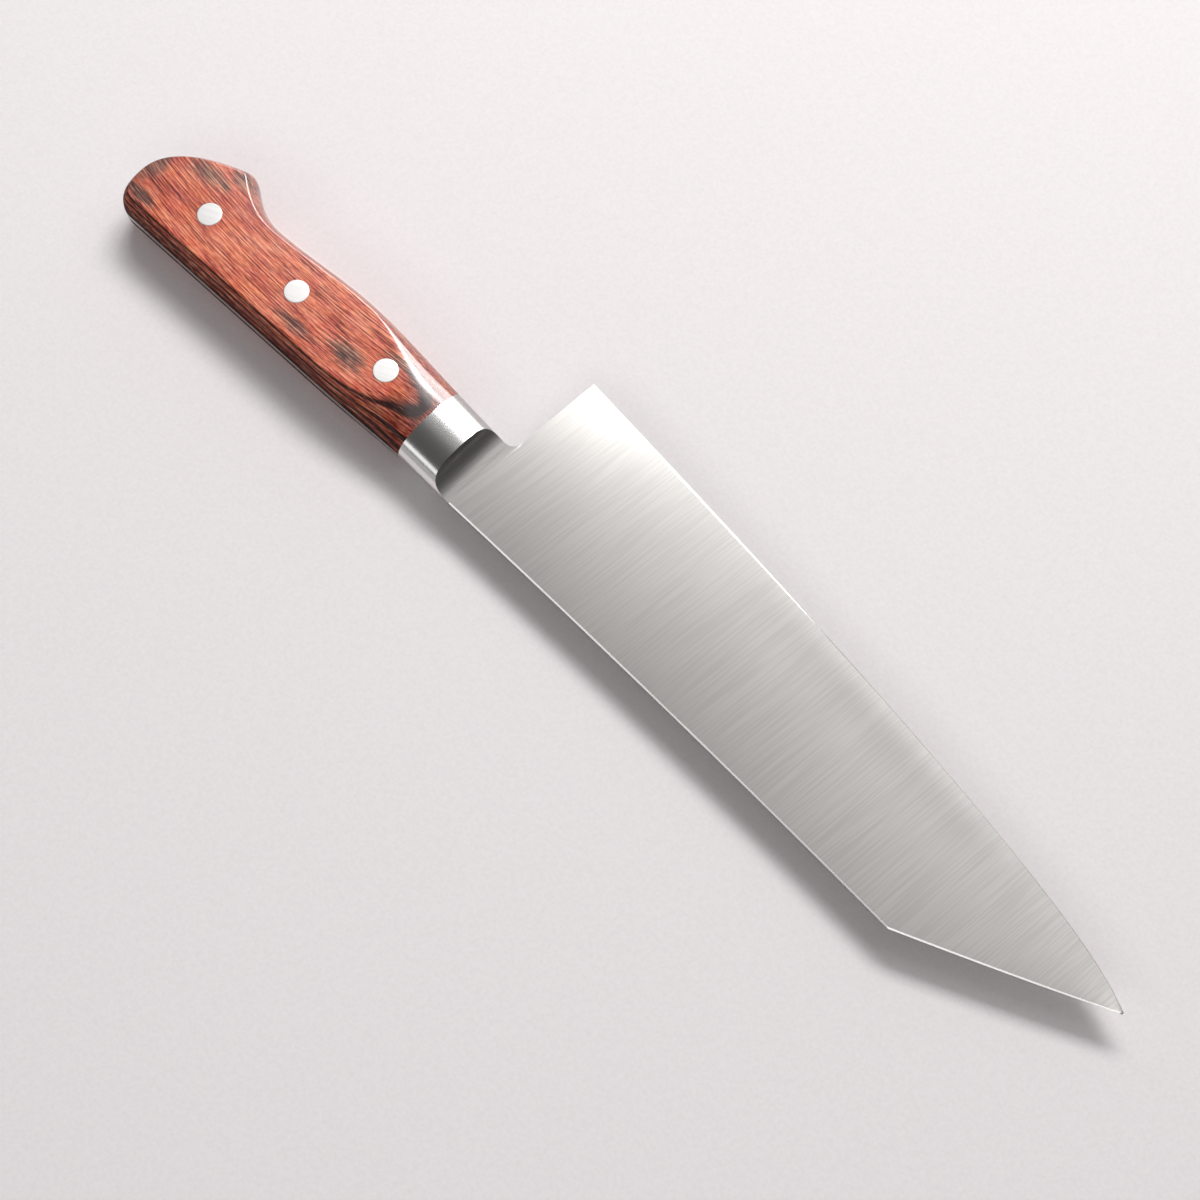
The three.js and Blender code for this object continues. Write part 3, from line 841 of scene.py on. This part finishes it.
# dyed laminate: dark and red plies stacked up from the tang, with long fine grain and a clear lacquer
laminate = {
    # height in the stack, and how red the ply is there: 0 dark, 1 red
    "stack": 10.0,
    "plies": [
        (0.0, 0), (2.65, 0), (2.95, 0.25), (3.8, 0.4), (4.0, 0), (4.7, 0), (4.88, 0.45),
        (5.85, 0.45), (6.05, 0), (6.6, 0), (6.75, 0.9), (6.95, 0.55), (7.9, 0.5), (8.02, 0),
        (8.3, 0), (8.62, 1), (10.0, 1),
    ],
    # colours from the darkest to the lightest grain
    "red": [
        (0.0, linear(98, 26, 24)), (0.25, linear(153, 61, 49)), (0.5, linear(204, 101, 78)),
        (0.75, linear(236, 133, 100)), (1.0, linear(252, 168, 130)),
    ],
    "dark": [
        (0.0, linear(24, 10, 10)), (0.45, linear(48, 22, 19)), (0.75, linear(84, 44, 36)),
        (1.0, linear(124, 96, 80)),
    ],
    "smoke": [
        (0.0, linear(38, 24, 26)), (0.35, linear(72, 48, 48)), (0.6, linear(118, 84, 74)),
        (0.85, linear(178, 128, 104)), (1.0, linear(210, 158, 128)),
    ],
    # the grain's long bend across the handle
    "arc": (0.0014, 0.126),
    # changes along x or y: from, to, value at the first, value at the second
    "noseRise": (-11.0, 1.5, 0.0, 1.1),
    "buttDrop": (-99.0, -110.0, 0.0, 0.3),
    # painted light: on the finger side, which faces the lamps, the dark plies are lifted halfway to red
    "paintedFingerLight": (1.0, 7.0, 0.0, 0.5),
    "buttShade": (-72.0, -108.0, 0.0, -0.1),
    "noseShade": (-17.0, -4.0, 0.0, -0.14),
    # noises: cells per millimetre along, across and through, then detail and roughness
    "grain": {
        "wave": (0.05, 0.16, 0.1, 3.0, 0.55),
        "bend": (0.05, 0.9, 0.6, 2.0, 0.55),
        "fading": (0.16, 1.3, 0.9, 1.0, 0.55),
        "fine": (0.12, 3.2, 2.0, 0.0, 0.55),
        "pores": (0.1, 2.9, 1.8, 0.0, 0.55),
        "lights": (0.11, 3.0, 1.9, 0.0, 0.55),
        "flecks": (0.6, 3.4, 2.0, 0.0, 0.55),
        "streak": (0.04, 0.7, 0.5, 3.0, 0.6),
        "ragged": (0.15, 1.1, 0.6, 3.0, 0.65),
        "mottle": (0.08, 0.2, 0.2, 3.0, 0.6),
        "warmth": (0.21, 0.34, 0.3, 2.0, 0.6),
        "dye": (0.16, 0.29, 0.31, 2.0, 0.6),
    },
    "waviness": 0.55,
    "linePitch": 0.75,
    "lineBend": 14.0,
    "lineFading": (0.3, 0.7, 0.3, 1.0),
    # how much each kind of grain lightens or darkens the wood
    "tone": 0.57,
    "lineWeight": 0.19,
    "weights": {"fine": 0.85, "flecks": 0.6, "streak": 0.3, "mottle": 0.6},
    "pores": {"span": (0.44, 0.34), "weight": -0.3},
    "lights": {"span": (0.56, 0.66), "weight": 0.2},
    "drift": (0.3, 0.7),
    "hueSwing": 0.004,
    "saturationSwing": 0.035,
    # smoky patches in the red veneer: x, y, reach along, reach across, strength
    "patches": [
        (-27.5, -4.2, 7.0, 4.4, 0.95), (-44.0, -7.4, 8.5, 2.4, 0.8), (-93.0, 8.6, 9.5, 3.2, 0.85),
        (-107.0, 1.0, 4.5, 9.0, 0.85), (-85.5, 13.5, 5.0, 3.0, 0.8), (-103.0, -8.8, 8.0, 2.8, 0.9),
        (-12.0, 4.6, 10.0, 2.0, 0.8),
    ],
    "patchEdge": (1.1, 0.3),
    "ragged": 1.5,
    "roughness": 0.45,
    "lacquer": 0.18,
    "lacquerIor": 2.05,
    # lacquer by the slope toward the edge: full, and cut back on the wall that faces the spine side so
    # that this wall stays dark, which is painted shade
    "lacquerOffShadedWall": (0.0, -0.5, 1.0, 0.12),
}


def laminateWood(name):
    s = laminate
    material, wire, shader = newMaterial(name)
    place = wire.knifePlace()
    parts = wire.put("ShaderNodeSeparateXYZ", {}, {0: place}).outputs
    x, y, z = parts["X"], parts["Y"], parts["Z"]
    slope = wire.math("MULTIPLY_ADD", x, s["arc"][0], s["arc"][1])
    across = wire.math("SUBTRACT", y, wire.math("MULTIPLY", slope, x))
    bent = wire.put("ShaderNodeCombineXYZ", {}, {0: x, 1: across, 2: z}).outputs[0]

    def grain(kind, where=bent):
        *cells, detail, roughness = s["grain"][kind]
        return wire.noise(wire.vector("MULTIPLY", where, cells), detail, roughness)

    def centred(value):
        return wire.math("SUBTRACT", value, 0.5)

    # level of the ply that shows at each place
    level = wire.math("MULTIPLY_ADD", centred(grain("wave")), s["waviness"], wire.math("ABSOLUTE", z))
    level = wire.math("ADD", level, wire.span(x, *s["noseRise"]))
    level = wire.math("SUBTRACT", level, wire.span(x, *s["buttDrop"]))
    stops = [(at / s["stack"], (value,) * 3) for at, value in s["plies"]]
    plyRednessAndLitSide = wire.ramp(wire.math("DIVIDE", level, s["stack"]), stops)
    # painted highlight: on the finger side, which faces the lamps, the dark plies are lifted toward red
    # and lighter
    plyRednessAndLitSide = wire.math("MAXIMUM", plyRednessAndLitSide, wire.span(y, *s["paintedFingerLight"]))

    # grain: fine lines, flecks, long streaks and a slow mottle, with dark pores and light threads
    bend = wire.math("MULTIPLY", grain("bend"), s["lineBend"])
    lines = wire.math("SINE", wire.math("MULTIPLY_ADD", across, 2 * math.pi / s["linePitch"], bend))
    lines = wire.math("MULTIPLY", lines, wire.span(grain("fading"), *s["lineFading"]))
    tone = wire.math("MULTIPLY_ADD", lines, s["lineWeight"], s["tone"])
    for kind, weight in s["weights"].items():
        part = grain(kind, place if kind == "mottle" else bent)
        tone = wire.math("MULTIPLY_ADD", centred(part), weight, tone)
    for kind in ("pores", "lights"):
        spots = wire.span(grain(kind), *s[kind]["span"])
        tone = wire.math("MULTIPLY_ADD", spots, s[kind]["weight"], tone)
    for shade in ("buttShade", "noseShade"):
        tone = wire.math("ADD", tone, wire.span(x, *s[shade]))

    # red veneer that drifts between crimson and orange, with smoky patches
    hueSwing, saturationSwing = s["hueSwing"], s["saturationSwing"]
    hue = wire.span(grain("warmth", place), *s["drift"], 0.5 - hueSwing, 0.5 + hueSwing)
    saturation = wire.span(grain("dye", place), *s["drift"], 1 - saturationSwing, 1 + saturationSwing)
    dyed = {"Hue": hue, "Saturation": saturation, "Color": wire.ramp(tone, s["red"])}
    red = wire.put("ShaderNodeHueSaturation", {}, dyed).outputs[0]
    ragged = wire.math("MULTIPLY", centred(grain("ragged")), s["ragged"])
    smoky = 0.0
    for patchX, patchY, long, wide, strength in s["patches"]:
        toPatch = wire.vector("SUBTRACT", place, (patchX, patchY, 0))
        toPatch = wire.vector("MULTIPLY", toPatch, (1 / long, 1 / wide, 0))
        away = wire.math("ADD", wire.vector("LENGTH", toPatch, (0, 0, 0)), ragged)
        smoky = wire.math("MAXIMUM", wire.span(away, *s["patchEdge"], 0.0, strength), smoky)
    red = wire.mix(smoky, red, wire.ramp(tone, s["smoke"]))
    colour = wire.mix(plyRednessAndLitSide, wire.ramp(tone, s["dark"]), red)
    wire.feed(shader.inputs["Base Color"], colour)
    shader.inputs["Roughness"].default_value = s["roughness"]
    shader.inputs["Specular IOR Level"].default_value = 0  # only the lacquer shines
    facing = wire.put("ShaderNodeTexCoord").outputs["Normal"]
    facing = wire.put("ShaderNodeSeparateXYZ", {}, {0: facing}).outputs["Y"]
    # painted shade: less lacquer where the wall faces the spine side, so it reflects less there
    wire.feed(shader.inputs["Coat Weight"], wire.span(facing, *s["lacquerOffShadedWall"]))
    shader.inputs["Coat Roughness"].default_value = s["lacquer"]
    shader.inputs["Coat IOR"].default_value = s["lacquerIor"]
    return material


knifePieces = []


def finished(piece, *finishes):
    for finish in finishes:
        piece.data.materials.append(finish)
    knifePieces.append(piece)


satinFinish = brushedSteel("satinSteel", satin)
polishedFinish = brushedSteel("polishedSteel", polished)
rivetFinish = brushedSteel("rivetSteel", whiteSteel)
woodFinish = laminateWood("laminate")
print("finishes made")
finished(makeBlade(), satinFinish, polishedFinish)
print("blade made")
finished(makeBolster(), polishedFinish, satinFinish)
print("bolster made")
finished(makeScale("scale_left_body", "scale_left", 1), woodFinish)
finished(makeScale("scale_right_body", "scale_right", -1), woodFinish)
print("scales made")
for rivet in rivetNames:
    finished(makeRivet(rivet), rivetFinish)
print("rivets made")

# camera as the photograph's: 1200 by 1200 pixels, focal length in pixels
view = {
    "focal": 2200.0,
    "frame": 1200.0,
    "sensor": 36.0,
    "near": 0.01,
    "from": (0.1345, -0.15145, 0.5484),
    "to": (0.0055, -0.01485, 0.0088),
}
camera = bpy.data.objects.new("camera", bpy.data.cameras.new("camera"))
scene.collection.objects.link(camera)
camera.data.sensor_width = view["sensor"]
camera.data.lens = view["sensor"] * view["focal"] / view["frame"]
camera.location = view["from"]
look = Vector(view["to"]) - Vector(view["from"])
camera.rotation_euler = look.to_track_quat("-Z", "Y").to_euler()
camera.data.clip_start = view["near"]
scene.camera = camera
print("camera made")

# pale paper floor, just under the knife
paper = {
    "size": 6.0,
    "drop": 0.00005,
    "colour": (0.965, 0.912, 0.921),
    "grain": 0.035,
    "grainsPerMm": 1.1,
    "grainDetail": 1.0,
    "speckSpan": (0.2, 0.8),
    "roughness": 0.9,
}


def makeFloor():
    s = paper
    bpy.ops.mesh.primitive_plane_add(size=s["size"], location=(0, 0, -s["drop"]))
    made = bpy.context.object
    made.name = "floor"
    material, wire, shader = newMaterial("paperFloor")
    cells = wire.vector("MULTIPLY", wire.knifePlace(), (s["grainsPerMm"],) * 3)
    specks = wire.noise(cells, s["grainDetail"])
    colours = [[v * tone for v in s["colour"]] for tone in (1 - s["grain"], 1 + s["grain"])]
    wire.feed(shader.inputs["Base Color"], wire.ramp(specks, list(zip(s["speckSpan"], colours))))
    shader.inputs["Roughness"].default_value = s["roughness"]
    made.data.materials.append(material)
    return made


floor = makeFloor()
print("floor made")

# soft studio light: azimuth counts clockwise from straight behind the knife as the camera sees it,
# widths and heights are in degrees as seen from the knife, and a lamp of level 1 just looks white
studio = {
    "sky": 0.09,
    "distance": 1.3,
    "levelPower": 4.0,
    # this one only puts a gleam on the knife, so that its long shadow stays off the floor
    "gleam": "strip",
    "softboxes": {
        "keyLeft": {"azimuth": -3, "elevation": 48, "width": 18, "height": 14, "level": 7.9},
        "keyRight": {"azimuth": 25, "elevation": 50, "width": 24, "height": 14, "level": 10.0},
        "strip": {"azimuth": 33, "elevation": 27, "width": 20, "height": 28, "level": 4.5},
        "backdrop": {"azimuth": 10, "elevation": 20, "width": 100, "height": 40, "level": 0.3},
        "halo": {"azimuth": 22, "elevation": 62, "width": 30, "height": 8, "level": 0.4},
        "side": {"azimuth": 72, "elevation": 48, "width": 30, "height": 28, "level": 0.6},
        "rim": {"azimuth": 60, "elevation": 65, "width": 22, "height": 8, "level": 1.5},
        "overhead": {"azimuth": 110, "elevation": 82, "width": 36, "height": 18, "level": 0.4},
        "front": {"azimuth": 188, "elevation": 44, "width": 34, "height": 22, "level": 1.1},
        "card": {"azimuth": 241, "elevation": 37, "width": 44, "height": 14, "level": 1.0},
        "bounce": {"azimuth": 243, "elevation": 12, "width": 44, "height": 24, "level": 0.3},
    },
}
world = bpy.data.worlds.new("studio")
scene.world = world
world.use_nodes = True
sky = world.node_tree.nodes["Background"]
sky.inputs["Color"].default_value = (1, 1, 1, 1)
sky.inputs["Strength"].default_value = studio["sky"]


def softbox(name, azimuth, elevation, width, height, level):
    lamp = bpy.data.lights.new(name, "AREA")
    lamp.shape = "RECTANGLE"
    lamp.size = 2 * studio["distance"] * math.tan(math.radians(width / 2))
    lamp.size_y = 2 * studio["distance"] * math.tan(math.radians(height / 2))
    lamp.energy = level * studio["levelPower"] * lamp.size * lamp.size_y
    made = bpy.data.objects.new(name, lamp)
    scene.collection.objects.link(made)
    turn = math.atan2(look.x, look.y) + math.radians(azimuth)
    rise = math.radians(elevation)
    out = math.cos(rise)
    toward = Vector((out * math.sin(turn), out * math.cos(turn), math.sin(rise)))
    made.location = toward * studio["distance"]
    made.rotation_euler = (-toward).to_track_quat("-Z", "Y").to_euler()
    return made


lamps = {name: softbox(name, **box) for name, box in studio["softboxes"].items()}
knifeOnly = bpy.data.collections.new("knifeOnly")
for piece in knifePieces:
    knifeOnly.objects.link(piece)
lamps[studio["gleam"]].light_linking.receiver_collection = knifeOnly
print("light made")

scene.view_settings.view_transform = "Standard"
print("scene made")
